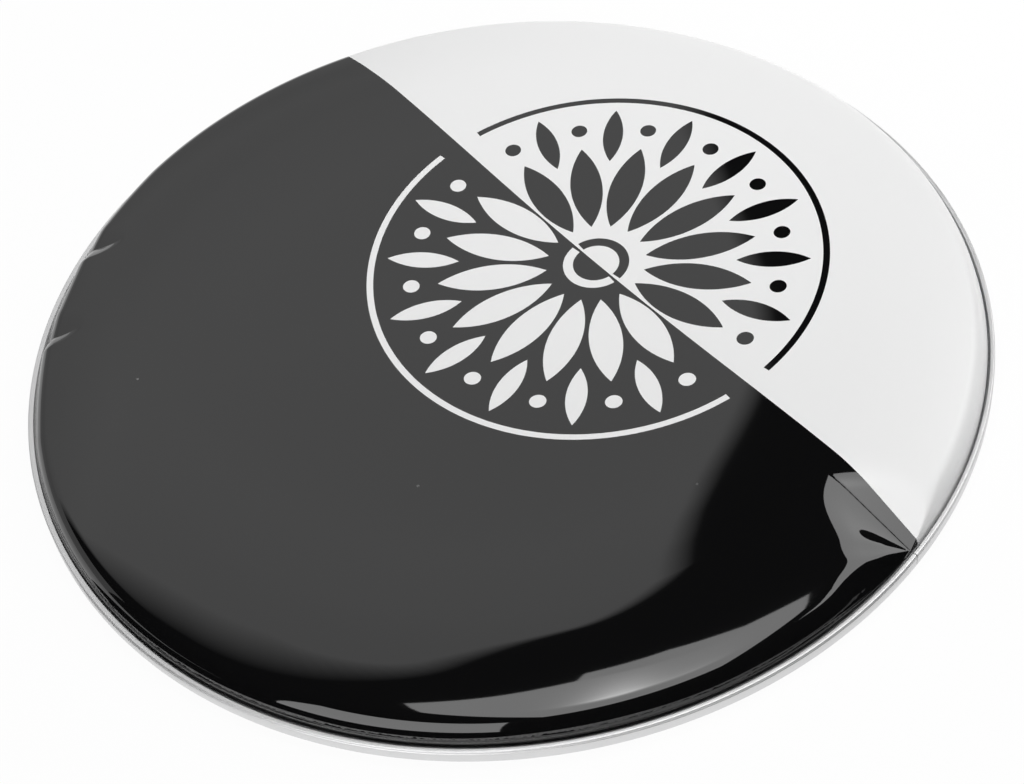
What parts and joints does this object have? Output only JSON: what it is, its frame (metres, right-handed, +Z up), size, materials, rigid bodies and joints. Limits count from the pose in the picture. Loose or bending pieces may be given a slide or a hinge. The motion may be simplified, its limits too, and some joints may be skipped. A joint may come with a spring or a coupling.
{
  "type": "drum head",
  "caption": "Bass drum front head: crowned glossy film printed black and white, glued with its hem in a bright rolled aluminium channel hoop.",
  "frame": {"origin": "centre of the hoop's underside, on the head's axis", "axes": "+Z up through the printed playing face, -Y towards the picture's camera, +X to the camera's right"},
  "size_m": [0.571, 0.571, 0.029],
  "materials": {
    "hoop_aluminium": "bright rolled",
    "insert_steel": "drawn wire",
    "glue_resin": "cured resin",
    "film_white": "gloss",
    "print_black": "gloss"
  },
  "bodies": {
    "root": {"hoop_channel": "hoop_aluminium", "insert_ring": "insert_steel", "glue_bed": "glue_resin", "skin_film": "film_white", "black_print": "print_black"}
  },
  "joints": []
}
